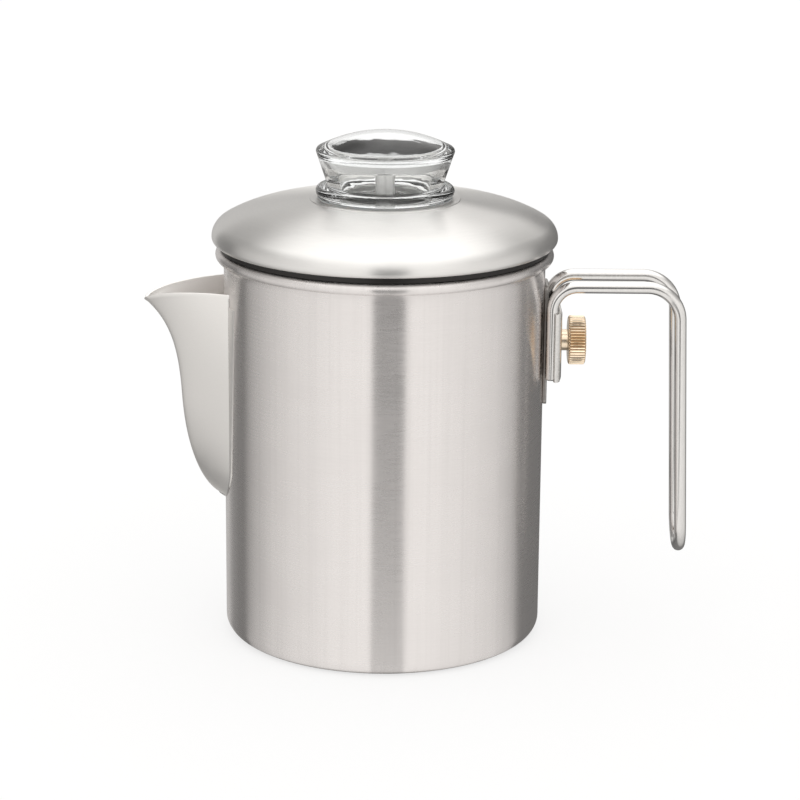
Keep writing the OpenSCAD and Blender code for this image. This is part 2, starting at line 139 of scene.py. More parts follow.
def sweep(path, ring):
    """Vertices and faces of a (u, v) ring carried along an open path, with flat ends. The ring keeps
    its turn from point to point."""
    points = [Vector(p) for p in path]
    last = len(points) - 1
    verts, faces = [], []
    side = None
    for i, p in enumerate(points):
        along = (points[min(i + 1, last)] - points[max(i - 1, 0)]).normalized()
        if side is None:
            side = along.orthogonal().normalized()
        side = (side - along * side.dot(along)).normalized()
        up = along.cross(side)
        verts += [tuple(p + side * u + up * v) for u, v in ring]
    n = len(ring)
    for i in range(last):
        a, b = i * n, (i + 1) * n
        faces += [[a + k, a + (k + 1) % n, b + (k + 1) % n, b + k] for k in range(n)]
    faces += [list(range(n))[::-1], list(range(last * n, (last + 1) * n))]
    return verts, faces


def rod(path, r, sides=40, chamfer=0.5):
    """A round rod along a path of points, with its two end faces chamfered."""
    points = [Vector(p) for p in path]
    first = points[0] + (points[1] - points[0]).normalized() * chamfer
    last = points[-1] + (points[-2] - points[-1]).normalized() * chamfer
    points = [points[0], first] + points[1:-1] + [last, points[-1]]
    verts, faces = sweep(points, arc(0, 0, r, 0, 360, sides)[:-1])
    for start, p in ((0, points[0]), (len(verts) - sides, points[-1])):
        for k in range(start, start + sides):
            verts[k] = tuple(p + (Vector(verts[k]) - p) * (1 - chamfer / r))
    return verts, faces


def prism(outline, low, high, place):
    """Vertices and faces of an outline pushed along its third axis, put in place by a function."""
    n = len(outline)
    verts = [place(u, v, w) for w in (low, high) for u, v in outline]
    faces = [list(range(n))[::-1], list(range(n, 2 * n))]
    faces += [[k, (k + 1) % n, n + (k + 1) % n, n + k] for k in range(n)]
    return verts, faces


def merged(*parts):
    """Several (vertices, faces) pairs as one."""
    verts, faces = [], []
    for v, f in parts:
        faces += [[i + len(verts) for i in face] for face in f]
        verts += list(v)
    return verts, faces


def bevel(obj, width):
    """Rounds an object's sharp edges, applied to its mesh."""
    modifier = obj.modifiers.new("round", "BEVEL")
    modifier.width = width * MM
    modifier.segments = 3
    modifier.limit_method = "ANGLE"
    modifier.angle_limit = math.radians(35)
    modifier.harden_normals = False
    settle(obj)
    obj.data.shade_smooth()
    obj.data.set_sharp_from_angle(angle=math.radians(50))


def settle(obj):
    """Applies an object's modifiers."""
    bpy.context.view_layer.update()
    evaluated = obj.evaluated_get(bpy.context.evaluated_depsgraph_get())
    mesh = bpy.data.meshes.new_from_object(evaluated)
    obj.modifiers.clear()
    obj.data = mesh


def cut(obj, cutter_parts):
    """Takes closed (vertices, faces) parts out of an object."""
    cutter = make_object(obj.name + "_cutter", *merged(*cutter_parts))
    modifier = obj.modifiers.new("cut", "BOOLEAN")
    modifier.operation = "DIFFERENCE"
    modifier.solver = "EXACT"
    modifier.object = cutter
    settle(obj)
    bpy.data.objects.remove(cutter)
    obj.data.set_sharp_from_angle(angle=math.radians(38))


def cylinder_x(x0, x1, y, z, r, sides=32):
    """Vertices and faces of a cylinder along X."""
    ring = arc(0, 0, r, 0, 360, sides)[:-1]
    return prism(ring, x0, x1, lambda u, v, w: (w, y + u, z + v))


# ---- Material tools --------------------------------------------------------------------------


class Nodes:
    """Short calls for building one node tree."""

    def __init__(self, tree):
        self.tree = tree
        tree.nodes.clear()

    def add(self, kind, **values):
        """A new node. _name sets a property, i0 the first input, and From__Min the input "From Min"."""
        node = self.tree.nodes.new(kind)
        for key in [k for k in values if k.startswith("_")]:
            setattr(node, key[1:], values.pop(key))
        for key, value in values.items():
            place = int(key[1:]) if key[1:].isdigit() else key.replace("__", " ")
            self.put(node.inputs[place], value)
        return node

    def put(self, socket, value):
        """Links a socket or a node's first output, or sets a plain value."""
        if isinstance(value, bpy.types.NodeSocket):
            self.tree.links.new(value, socket)
        elif isinstance(value, bpy.types.Node):
            self.tree.links.new(value.outputs[0], socket)
        else:
            socket.default_value = value

    def math(self, operation, a, b=0.0, c=0.0):
        return self.add("ShaderNodeMath", _operation=operation, i0=a, i1=b, i2=c).outputs[0]

    def remap(self, value, low, high, out_low=0.0, out_high=1.0, smooth=True):
        node = self.add(
            "ShaderNodeMapRange",
            _interpolation_type="SMOOTHSTEP" if smooth else "LINEAR",
            Value=value, From__Min=low, From__Max=high, To__Min=out_low, To__Max=out_high,
        )
        return node.outputs[0]

    def mix(self, factor, a, b):
        """Colour a where the factor is 0, b where it is 1."""
        return self.add("ShaderNodeMix", _data_type="RGBA", i0=factor, i6=a, i7=b).outputs[2]

    def noise(self, vector, scale, detail=2.0, roughness=0.5):
        node = self.add(
            "ShaderNodeTexNoise", Vector=vector, Scale=scale, Detail=detail, Roughness=roughness
        )
        return node.outputs[0]

    def stretch(self, vector, x, y, z):
        return self.add("ShaderNodeMapping", Vector=vector, Scale=(x, y, z)).outputs[0]

    def round_axis(self, position, axis="Z", centre=(0, 0, 0)):
        """(distance from the axis, angle in radians, place along it) of a position, in metres."""
        moved = self.add("ShaderNodeVectorMath", _operation="SUBTRACT", i0=position, i1=centre)
        parts = self.add("ShaderNodeSeparateXYZ", Vector=moved).outputs
        along = {"X": 0, "Y": 1, "Z": 2}[axis]
        u, v = [parts[k] for k in range(3) if k != along]
        squares = self.math("ADD", self.math("MULTIPLY", u, u), self.math("MULTIPLY", v, v))
        return self.math("SQRT", squares), self.math("ARCTAN2", v, u), parts[along]


def new_material(name):
    material = bpy.data.materials.new(name)
    material.use_nodes = True
    return material, Nodes(material.node_tree)


def finish_material(n, colour, roughness, normal=None, **sockets):
    """The Principled shader: colour and roughness may be linked, everything else is a plain value."""
    shader = n.add("ShaderNodeBsdfPrincipled")
    n.put(shader.inputs["Base Color"], colour)
    n.put(shader.inputs["Roughness"], roughness)
    if normal is not None:
        n.put(shader.inputs["Normal"], normal)
    for key, value in sockets.items():
        n.put(shader.inputs[key.replace("__", " ")], value)
    n.add("ShaderNodeOutputMaterial", Surface=shader)


def opaque(colour, shade=1.0):
    """A colour, darkened by a factor, with its alpha."""
    return tuple(c * shade for c in colour) + (1,)


def turned_metal(name, colour, roughness, anisotropy, hair, lines, wear, axis="Z", centre=(0, 0, 0),
                 tint=None, streaks=0.0):
    """Steel or brass with hairlines that run round an axis: fine bump and roughness across them, and
    slow patches of brighter and duller metal. Streaks are faint lines along the axis, as rolled
    sheet has. A tint is a function that may change the colour by place."""
    material, n = new_material(name)
    place = n.add("ShaderNodeTexCoord").outputs["Object"]
    radius, turn, along = n.round_axis(place, axis, centre)
    line_place = n.add(
        "ShaderNodeCombineXYZ",
        X=n.math("MULTIPLY", n.math("SINE", turn), 0.004),
        Y=n.math("MULTIPLY", n.math("COSINE", turn), 0.004),
        Z=n.math("ADD", along, radius),
    ).outputs[0]
    hairs = n.noise(line_place, lines, 4.0, 0.7)
    broad = n.noise(line_place, lines * 0.12, 3.0, 0.6)
    patches = n.noise(place, 55.0, 3.0, 0.55)
    smudges = n.noise(place, 16.0, 2.0, 0.5)
    shade = n.math("ADD", n.math("MULTIPLY", hairs, 0.75), n.math("MULTIPLY", broad, 0.25))
    tone = n.mix(n.remap(shade, 0.3, 0.7), opaque(colour, 1 - wear * 2.2), opaque(colour))
    tone = n.mix(n.remap(smudges, 0.35, 0.75, 0.0, 0.35), tone, opaque(colour, 1 - wear))
    if streaks:
        lengthwise = n.noise(n.stretch(place, 420.0, 420.0, 4.0), 1.0, 3.0, 0.65)
        tone = n.mix(n.remap(lengthwise, 0.42, 0.72, 0.0, streaks), tone, opaque(colour, 0.8))
    if tint:
        tone = tint(n, place, tone)
    rough = n.math("ADD", n.remap(hairs, 0.3, 0.7, -0.02, 0.02),
                   n.remap(patches, 0.3, 0.7, roughness - 0.015, roughness + 0.02))
    bump = n.add("ShaderNodeBump", Strength=0.12 * hair, Distance=0.00002, Height=hairs)
    tangent = n.add("ShaderNodeTangent", _direction_type="RADIAL", _axis=axis)
    finish_material(n, tone, rough, bump, Metallic=1.0, Anisotropic=anisotropy,
                    Anisotropic__Rotation=0.25, Tangent=tangent)
    return material


# ---- Materials -------------------------------------------------------------------------------


WELD_Z, WELD_HALF_H, WELD_HALF_W = 0.0985, 0.012, 0.0065
# radii over which the locating ring's painted shade fades in
SLOT_PAINTED_SHADE_R = (0.0515, 0.0526)
GROOVE_R = ((0.00742, 0.00748), (0.0076, 0.0079))
SCREW_AXIS = (0, 0, SCREW_Z * MM)


def heat_tint(n, place, tone):
    """Straw and brown colours that spot welding left beside the bracket's plate."""
    parts = n.add("ShaderNodeSeparateXYZ", Vector=place).outputs
    height = n.math("ABSOLUTE", n.math("SUBTRACT", parts[2], WELD_Z))
    aside = n.math("MAXIMUM", n.math("SUBTRACT", n.math("ABSOLUTE", parts[1]), WELD_HALF_W), 0.0)
    above = n.math("MAXIMUM", n.math("SUBTRACT", height, WELD_HALF_H), 0.0)
    far = n.math("SQRT", n.math("ADD", n.math("POWER", aside, 2.0), n.math("POWER", above, 2.0)))
    handle_side = n.math("GREATER_THAN", parts[0], 0.0)
    near = n.math("MULTIPLY", n.remap(far, 0.001, 0.0085, 1.0, 0.0), handle_side)
    uneven = n.math("MULTIPLY", near, n.remap(n.noise(place, 140.0, 2.0), 0.3, 0.6, 0.25, 1.0))
    return n.mix(n.math("MULTIPLY", uneven, 0.6), tone, (0.50, 0.33, 0.20, 1))


def slot_painted_shade(n, place, tone):
    """Painted shade: the locating ring's steel turns near black past a radius, where it faces the slot
    over the pot's rim and shade falls.
    """
    radius = n.round_axis(place)[0]
    # painted shade: near black colour on the ring outside the slot radius
    return n.mix(n.remap(radius, *SLOT_PAINTED_SHADE_R), tone, (0.045, 0.043, 0.042, 1))


def groove_dark(n, place, tone):
    """Old brown brass in the grooves between the head's ridges."""
    radius = n.round_axis(place, "X", SCREW_AXIS)[0]
    inner, outer = GROOVE_R
    deep = n.math("MULTIPLY", n.remap(radius, *inner), n.remap(radius, *outer, 1.0, 0.0))
    return n.mix(n.math("MULTIPLY", deep, 0.7), tone, (0.46, 0.28, 0.13, 1))


WORKS = (0.74, 0.735, 0.725)
pot_steel = turned_metal("pot_steel", (0.80, 0.768, 0.755), 0.28, 1.0, 0.35, 1500.0, 0.02,
                         tint=heat_tint, streaks=0.22)
lid_steel = turned_metal("lid_steel", (0.82, 0.808, 0.79), 0.35, 0.9, 0.5, 1500.0, 0.025)
works_steel = turned_metal("works_steel", WORKS, 0.33, 0.5, 1.0, 1400.0, 0.05)
# the locating ring's steel, with painted shade where it faces the slot
ring_steel_painted_shade = turned_metal("ring_steel_painted_shade", WORKS, 0.40, 0.3, 1.0, 1400.0, 0.05, tint=slot_painted_shade)
brass_turned = turned_metal("brass_turned", (0.98, 0.82, 0.63), 0.24, 0.3, 0.6, 2600.0, 0.05,
                            axis="X", centre=SCREW_AXIS, tint=groove_dark)


def rod_metal(name, colour, roughness, grain, wear):
    """Polished wire or pressed sheet with drawing marks and small handling scratches."""
    material, n = new_material(name)
    place = n.add("ShaderNodeTexCoord").outputs["Object"]
    marks = n.noise(n.stretch(place, *grain), 40.0, 5.0, 0.65)
    cloud = n.noise(place, 90.0, 2.0)
    scratch = n.noise(n.stretch(place, 260.0, 900.0, 120.0), 6.0, 4.0, 0.7)
    tone = n.mix(n.remap(marks, 0.35, 0.65), opaque(colour, 1 - wear), opaque(colour))
    rough = n.math("ADD", n.remap(cloud, 0.3, 0.7, roughness - 0.03, roughness + 0.03),
                   n.remap(scratch, 0.55, 0.8, 0.0, 0.07))
    bump = n.add("ShaderNodeBump", Strength=0.08, Distance=0.00002, Height=marks)
    finish_material(n, tone, rough, bump, Metallic=1.0)
    return material


rod_steel = rod_metal("rod_steel", (0.77, 0.757, 0.742), 0.12, (40, 40, 6), 0.05)
spout_steel = rod_metal("spout_steel", (0.89, 0.87, 0.845), 0.42, (25, 25, 160), 0.02)
clamp_steel = rod_metal("clamp_steel", (0.76, 0.745, 0.725), 0.24, (30, 30, 30), 0.07)
# painted shade: the bracket's plate gets a dark steel colour for the shade that falls between the pot
# and the handle's rods
plate_steel_painted_shade = rod_metal("plate_steel_painted_shade", (0.36, 0.345, 0.33), 0.34, (30, 30, 30), 0.12)
weld_steel = rod_metal("weld_steel", (0.74, 0.72, 0.70), 0.28, (90, 90, 90), 0.16)


def make_glass():
    """Clear pressed glass: faint flow waves from the mould, and a slightly duller pressed surface."""
    material, n = new_material("knob_glass")
    place = n.add("ShaderNodeTexCoord").outputs["Object"]
    waves = n.noise(n.stretch(place, 1.0, 1.0, 2.2), 95.0, 2.0)
    bump = n.add("ShaderNodeBump", Strength=0.3, Distance=0.0003, Height=waves)
    rough = n.remap(n.noise(place, 500.0, 3.0), 0.4, 0.75, 0.0, 0.03)
    finish_material(n, (0.985, 0.992, 0.988, 1), rough, bump, IOR=1.5, Transmission__Weight=1.0)
    return material


def make_silicone():
    """Dull grey rubber with a fine speckle."""
    material, n = new_material("silicone")
    place = n.add("ShaderNodeTexCoord").outputs["Object"]
    speck = n.noise(place, 900.0, 3.0)
    tone = n.mix(n.remap(speck, 0.3, 0.7), (0.30, 0.295, 0.29, 1), (0.36, 0.355, 0.345, 1))
    bump = n.add("ShaderNodeBump", Strength=0.2, Distance=0.00005, Height=speck)
    finish_material(n, tone, n.remap(speck, 0.3, 0.7, 0.5, 0.62), bump, Subsurface__Weight=0.1)
    return material


knob_glass = make_glass()
silicone = make_silicone()


def dress(obj, body, slot, material, *nodes):
    """Gives a piece its material and its body, and hides the CAD nodes that it stands for. The slot is
    not used.
    """
    obj.data.materials.clear()
    obj.data.materials.append(material)
    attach(obj, body)
    if nodes:
        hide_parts(*nodes)
    return obj


# ---- Pot -------------------------------------------------------------------------------------

CORNER = 4.7
BEAD = (53.45, 128.0, 1.75)
wall_levels = [CORNER + (124.0 - CORNER) * i / 24 for i in range(1, 25)]
crease_deg = -180 + math.degrees(math.acos((BEAD[0] - POT_R) / BEAD[2]))
pot_outline = (
    [(0, 0), (20, 0), (40, 0)]
    + arc(POT_R - CORNER, CORNER, CORNER, -90, 0, 14)
    + [(POT_R, z) for z in wall_levels]
    + [(POT_R, 126.2)]
    + arc(BEAD[0], BEAD[1], BEAD[2], crease_deg + 6, 180, 36)
    + [(INNER_R, z) for z in reversed(wall_levels)]
    + arc(POT_R - CORNER, CORNER, CORNER - WALL, 0, -90, 12)
    + [(40, WALL), (20, WALL), (0, WALL)]
)
pot = lathe("pot_shell", pot_outline, 288, sharp_deg=30)

STRAINER_R, STRAINER_LOW, STRAINER_RISE, STRAINER_DEG, STRAINER_ROWS = 1.3, 58, 7, 5, 8


def strainer_hole(deg, z):
    """A round cutter through the wall, so many degrees round and so high."""
    turn = math.radians(deg)

    def place(u, v, w):
        x = w * math.cos(turn) - u * math.sin(turn)
        y = w * math.sin(turn) + u * math.cos(turn)
        return (x, y, z + v)

    return prism(arc(0, 0, STRAINER_R, 0, 360, 24)[:-1], INNER_R - 2, POT_R + 2, place)


strainer = []
for row in range(STRAINER_ROWS):
    columns = 5 - row % 2
    for col in range(columns):
        deg = 180 + STRAINER_DEG * (col - (columns - 1) / 2)
        strainer.append(strainer_hole(deg, STRAINER_LOW + STRAINER_RISE * row))
cut(pot, strainer)
dress(pot, "pot", "pot_steel", pot_steel, "pot_body", "rim_bead")

# ---- Spout -----------------------------------------------------------------------------------

TIP = (78.4, 111.8)
EDGE_RISE = 5.2
LOW_Z = 45.4
HALF_W = 16.0
SEAM_R = POT_R + 0.02
KEEL_ROUND = 2.0
BELLY, BELLY_Z, TIP_CURL = 13.6, 80, 11
FULL_WIDTH_Z = 58


def keel_x(z):
    """How far out the spout's middle line is: a belly below, and a curl out to the tip above."""
    s = max(0.0, (BELLY_Z - z) / (BELLY_Z - LOW_Z))
    belly = max(0.0, 1 - s * s) ** 0.55
    return POT_R + BELLY * belly + (TIP[0] - POT_R - BELLY) * math.exp((z - TIP[1]) / TIP_CURL)


def half_width(z):
    """Half the spout's width at the wall, rounded in towards its foot."""
    s = max(0.0, FULL_WIDTH_Z - z) / (FULL_WIDTH_Z - LOW_Z)
    return HALF_W * math.sqrt(max(0.0, 1 - s * s))


def edge_z(u):
    """The height of the open edge, which rises from the tip to the wall."""
    return TIP[1] + EDGE_RISE * (1 - (1 - abs(u)) ** 2)


def spout_point(u, v, inset):
    """A point of the spout's skin: u across from -1 to 1, v up from 0 to 1, inset from the outside."""
    low = LOW_Z + 0.5 + inset * 1.6
    z = low + v * (edge_z(u) - low)
    w = max(1.0, half_width(z) - inset * 1.15)
    y = w * u
    seam = math.sqrt(SEAM_R**2 - w * w)
    keel = max(keel_x(z) - inset * 1.6, SEAM_R + 0.3)
    depth = keel - seam
    a2 = max(0.02, (w * w - KEEL_ROUND * depth) / depth**2)
    back = (math.sqrt(KEEL_ROUND**2 + 4 * a2 * y * y) - KEEL_ROUND) / (2 * a2)
    return (-max(keel - back, math.sqrt(SEAM_R**2 - y * y)), y, z)


def make_spout():
    """The spout's sheet: rows of points up its outside, over the open edge and down its inside."""
    across, levels, lip = 96, 84, 6
    us = [-1 + 2 * i / across for i in range(across + 1)]
    us = [math.copysign(abs(u) ** 1.25, u) for u in us]
    rows = [[spout_point(u, (j / levels) ** 1.4, 0) for u in us] for j in range(levels + 1)]
    inner = [[spout_point(u, (j / levels) ** 1.4, WALL) for u in us] for j in range(levels + 1)]
    for k in range(1, lip):
        # the open edge is rounded over between the two skins
        t = k / lip
        row = []
        for a, b in zip(rows[levels], inner[levels]):
            middle = Vector(a).lerp(Vector(b), 0.5 - 0.5 * math.cos(math.pi * t))
            row.append(tuple(middle + Vector((0, 0, -0.22 + 0.30 * math.sin(math.pi * t)))))
        rows.append(row)
    drop = Vector((0, 0, -0.25))
    rows[levels] = [tuple(Vector(p) + drop) for p in rows[levels]]
    inner[levels] = [tuple(Vector(p) + drop) for p in inner[levels]]
    rows += inner[::-1]
    n = across + 1
    verts = [p for row in rows for p in row]
    faces = []
    for j in range(len(rows)):
        a, b = j * n, ((j + 1) % len(rows)) * n
        faces += [[a + i, a + i + 1, b + i + 1, b + i] for i in range(across)]
    # each side closes along the seam
    for end in (0, across):
        left = [j * n + end for j in range(levels + 1)]
        right = [(len(rows) - 1 - j) * n + end for j in range(levels + 1)]
        for j in range(levels):
            faces.append([left[j], left[j + 1], right[j + 1], right[j]])
        over = [k * n + end for k in range(levels + 1, levels + lip)]
        faces.append([left[levels]] + over + [right[levels]])
    return make_object("spout_sheet", verts, faces, 60)


spout = make_spout()
dress(spout, "pot", "spout_steel", spout_steel, "pour_spout")


def seam_path():
    """The line where the spout meets the pot, from one top corner round the bottom to the other."""
    side = []
    for i in range(60):
        v = 0.985 * (1 - i / 60) ** 1.2
        side.append(spout_point(1, v, 0))
    bottom = [spout_point(1 - 2 * k / 24, 0, 0) for k in range(25)]
    return side + bottom + [(x, -y, z) for x, y, z in reversed(side)]


weld_ring = arc(0, 0, 0.34, 0, 360, 12)[:-1]
weld = make_object("spout_weld", *sweep(seam_path(), weld_ring), 60)
dress(weld, "pot", "spout_steel", weld_steel)

FLANGE_T = 0.3


def make_flange(side):
    """The edge of the spout's sheet, bent flat against the wall beside the seam and trimmed to a
    taper."""
    low, high, steps, across = 52.0, 113.2, 40, 6
    rows = []
    for i in range(steps + 1):
        z = low + (high - low) * i / steps
        seam = math.asin(half_width(z) / SEAM_R) - math.radians(0.15)
        wide = math.radians(1.2 + 5.0 * ((z - low) / (high - low)) ** 0.8)
        for depth in (0.0, 1.0):
            row = []
            for k in range(across + 1):
                t = k / across
                thick = FLANGE_T * (1 - 0.75 * max(0.0, (t - 0.8) / 0.2) ** 2) * depth
                a = math.pi + side * (seam + wide * t)
                r = POT_R + 0.01 + thick
                row.append((r * math.cos(a), r * math.sin(a), z))
            rows.append(row)
    n = across + 1
    verts = [p for row in rows for p in row]
    faces = []
    for i in range(steps):
        a, b, c, d = (k * n for k in (2 * i, 2 * i + 1, 2 * i + 2, 2 * i + 3))
        for k in range(across):
            faces += [[a + k, a + k + 1, c + k + 1, c + k], [b + k, b + k + 1, d + k + 1, d + k]]
        for k in (0, across):
            faces.append([a + k, b + k, d + k, c + k])
    for a, b in ((0, n), (2 * steps * n, (2 * steps + 1) * n)):
        faces += [[a + k, a + k + 1, b + k + 1, b + k] for k in range(across)]
    return make_object("spout_flange_" + ("near" if side > 0 else "far"), verts, faces, 50)


for side in (1, -1):
    dress(make_flange(side), "pot", "spout_steel", spout_steel)

# ---- Bracket on the pot ----------------------------------------------------------------------

PLATE_T = 1.3
PLATE_Z = (78.5, 118.5)
plate_half = math.radians(7) * (POT_R + PLATE_T / 2)


def on_pot(u, v, w):
    """Bends a flat (across, height, out) place round the pot's wall."""
    a = u / (POT_R + PLATE_T / 2)
    r = POT_R + 0.01 + w
    return (r * math.cos(a), r * math.sin(a), v)


def make_plate():
    """A flat plate with round corners, cut into upright strips and bent round the wall."""
    low_z, high_z = PLATE_Z
    corners = [(-plate_half, low_z), (plate_half, low_z), (plate_half, high_z), (-plate_half, high_z)]
    outline = rounded(corners, 1.6, 6)
    bm = bmesh.new()
    low = [bm.verts.new((u, v, 0)) for u, v in outline]
    bm.faces.new(low)
    for k in range(1, 12):
        u = -plate_half + 2 * plate_half * k / 12
        whole = bm.verts[:] + bm.edges[:] + bm.faces[:]
        bmesh.ops.bisect_plane(bm, geom=whole, plane_co=(u, 0, 0), plane_no=(1, 0, 0))
    made = bmesh.ops.extrude_face_region(bm, geom=bm.faces[:])
    for vert in [g for g in made["geom"] if isinstance(g, bmesh.types.BMVert)]:
        vert.co.z = PLATE_T
    verts = []
    for i, vert in enumerate(bm.verts):
        vert.index = i
        verts.append(on_pot(*vert.co))
    faces = [[v.index for v in f.verts] for f in bm.faces]
    bm.free()
    return make_object("bracket_plate", verts, faces)


plate = make_plate()
bevel(plate, 0.3)
# the plate's dark colour is painted shade
dress(plate, "pot", "pot_steel", plate_steel_painted_shade, "bracket_base")

NUT_R, NUT_X, NUT_LOW = 5.2, POT_R + PLATE_T + 1.8, 53.5
NUT_BORE, NUT_EDGE = 2.55, 0.4


def turned_x(name, outline, sides=96, radius_at=None, sharp_deg=38):
    """An (r, x) outline turned about the screw's axis."""
    verts, faces = lathe_mesh(outline, sides, radius_at)
    return make_object(name, [(z, x, y + SCREW_Z) for x, y, z in verts], faces, sharp_deg)


nut_outline = [
    (NUT_BORE, NUT_LOW), (NUT_R, NUT_LOW), (NUT_R, NUT_X - NUT_EDGE), (NUT_R - NUT_EDGE, NUT_X),
    (NUT_BORE + NUT_EDGE, NUT_X), (NUT_BORE, NUT_X - NUT_EDGE),
]
nut = turned_x("bracket_boss", nut_outline)
dress(nut, "pot", "clamp_steel", clamp_steel, "bracket_nut")

# ---- Handle ----------------------------------------------------------------------------------

ROD_R, ROD_Y = 2.0, 9.0
LEG_X, LEG_END_Z, LEG_BEND = 54.7, 87.7, 8.0
TOP_Z = 118.9
GRIP_X, GRIP_BEND, GRIP_L, LEAN_DEG = 96.4, 11.0, 70.6, 1.9


def handle_path():
    """The rod's middle line: up one leg, out over the top, down the grip, and back on the far side."""
    side = [(LEG_X, z) for z in (LEG_END_Z, 92, 98, 104)]
    side += arc(LEG_X + LEG_BEND, TOP_Z - LEG_BEND, LEG_BEND, 180, 90, 24)
    lean = math.radians(LEAN_DEG)
    bend = (GRIP_X - GRIP_BEND, TOP_Z - GRIP_BEND)

    def leaning(x, down):
        """A place in the grip's own plane: x from the bends' centre, and so far down the rods."""
        out = bend[0] + x * math.cos(lean) + down * math.sin(lean)
        return (out, bend[1] + x * math.sin(lean) - down * math.cos(lean))

    side += [(x, TOP_Z) for x in (66, 70, 76, 82)]
    side += arc(*bend, GRIP_BEND, 90, LEAN_DEG, 28)
    side += [leaning(GRIP_BEND, GRIP_L * k / 8) for k in range(1, 8)]
    under = []
    for y, drop in arc(0, 0, ROD_Y, 180, 360, 36):
        x, z = leaning(GRIP_BEND, GRIP_L - drop)
        under.append((x, y, z))
    return [(x, -ROD_Y, z) for x, z in side] + under + [(x, ROD_Y, z) for x, z in reversed(side)]


handle = make_object("handle_rod", *rod(handle_path(), ROD_R, 40))
dress(handle, "handle", "rod_steel", rod_steel, "handle_frame")

# ---- Clamp -----------------------------------------------------------------------------------

SADDLE_X, SADDLE_T = LEG_X + ROD_R + 0.05, 1.2
SADDLE_Z = (87.5, 110.3)


def make_saddle():
    """A level section carried up the saddle: the web, and a hook round each rod."""
    r_in, r_out = SADDLE_X - LEG_X, SADDLE_X - LEG_X + SADDLE_T
    hook = 72
    outside = arc(LEG_X, ROD_Y, r_out, 0, hook, 14)
    tip = arc(LEG_X, ROD_Y, r_in, hook, 0, 12)
    right = outside + tip
    left = [(x, -y) for x, y in reversed(right)]
    obj = make_object("clamp_saddle_bent", *prism(right + left, *SADDLE_Z, lambda u, v, w: (u, v, w)))
    face_x, low_z = SADDLE_X + SADDLE_T, SADDLE_Z[0]
    slab = [(face_x - 1.5, low_z - 2), (face_x + 2, low_z - 2), (face_x + 2, low_z + 3.5),
            (face_x, low_z + 1.5)]
    low_edge = prism(slab, -20, 20, lambda u, v, w: (u, w, v))
    cut(obj, [cylinder_x(SADDLE_X - 3, SADDLE_X + 3, 0, SCREW_Z, 2.75), low_edge])
    bevel(obj, 0.25)
    return obj


saddle = make_saddle()
dress(saddle, "clamp", "clamp_steel", clamp_steel, "clamp_saddle")


def make_tongue():
    """The saddle's upper edge, carried on between the rods and leaning back to the pot."""
    half, lean, rise = ROD_Y - ROD_R - 0.5, 1.0, 3.5
    side = [(0.0, -0.6), (-0.1, 0.0), (-lean * 0.6, rise * 0.6), (-lean, rise - 0.3)]
    inner = [(SADDLE_X + u, SADDLE_Z[1] + v) for u, v in side]
    outer = [(x + SADDLE_T, z + 0.02) for x, z in inner]
    verts, faces = prism(inner + outer[::-1], -half, half, lambda u, v, w: (u, w, v))
    obj = make_object("clamp_tongue", verts, faces)
    bevel(obj, 0.35)
    return obj


tongue = make_tongue()
dress(tongue, "clamp", "clamp_steel", clamp_steel)

# ---- Thumbscrew ------------------------------------------------------------------------------

NECK_X = SADDLE_X + SADDLE_T + 0.1
HEAD_X, HEAD_T, HEAD_R, RIDGES = NECK_X + 2.45, 5.6, 8.1, 48
HEAD_END = HEAD_X + HEAD_T
TIP_X, SHANK_R, NECK_R, THREAD_PITCH = 52.9, 2.05, 3.5, 0.8


def screw_radius(r, x, turn):
    """Straight ridges round the head, and a thread along the shank."""
    if r > HEAD_R - 0.9 and HEAD_X < x < HEAD_END:
        wave = abs(((turn * RIDGES / (2 * math.pi)) % 1) * 2 - 1)
        depth = 0.55 * min(1.0, max(0.0, (r - (HEAD_R - 0.9)) / 0.6))
        return r - depth * (1 - wave) ** 0.8
    if r < 2.2 and 53.0 < x < SADDLE_X - 0.2:
        wave = abs((((x / THREAD_PITCH) - turn / (2 * math.pi)) % 1) * 2 - 1)
        return r + 0.36 * wave
    return r


HEAD_CHAMFER = [(0.75, 0), (0.62, 0.04), (0.12, 0.34), (0, 0.48)]
screw_outline = (
    [(0, TIP_X), (1.6, TIP_X), (SHANK_R, TIP_X + 0.2)]
    + [(SHANK_R, TIP_X + 0.2 + 0.1 * i) for i in range(1, 36)]
    + [(SHANK_R, NECK_X), (NECK_R - 0.2, NECK_X), (NECK_R, NECK_X + 0.2), (NECK_R, HEAD_X - 0.25)]
    + [(NECK_R + 0.25, HEAD_X)]
    + [(HEAD_R - edge, HEAD_X + back) for edge, back in HEAD_CHAMFER]
    + [(HEAD_R, HEAD_X + HEAD_T * k / 6) for k in (2, 3, 4)]
    + [(HEAD_R - edge, HEAD_END - back) for edge, back in reversed(HEAD_CHAMFER)]
    + [(5.2, HEAD_END), (4.9, HEAD_END - 0.12), (0, HEAD_END - 0.12)]
)
screw = turned_x("thumbscrew_brass", screw_outline, RIDGES * 8, screw_radius, 30)
dress(screw, "screw", "brass", brass_turned, "thumbscrew")

# ---- Lid -------------------------------------------------------------------------------------

LID_R, LID_Z, LID_T, SEAT_Z = 56.4, 133.8, 0.7, 146.3
SHOULDER_R, SHOULDER_DEG, HAUNCH_R, HAUNCH_DEG = 5.7, 60.4, 41.0, 78.0
EDGE_ROLL = 1.8
SEAT_HOLE_R, HEM_R = 24.6, 53.8


def polar(centre, r, deg):
    """The point so far from a centre in a direction."""
    return (centre[0] + r * math.cos(math.radians(deg)), centre[1] + r * math.sin(math.radians(deg)))


shoulder_c = (LID_R - SHOULDER_R, LID_Z)
haunch_c = polar(shoulder_c, SHOULDER_R - HAUNCH_R, SHOULDER_DEG)
haunch_end = polar(haunch_c, HAUNCH_R, HAUNCH_DEG)
crown_r = haunch_end[0] / math.cos(math.radians(HAUNCH_DEG))
crown_z = haunch_end[1] - crown_r * math.sin(math.radians(HAUNCH_DEG))


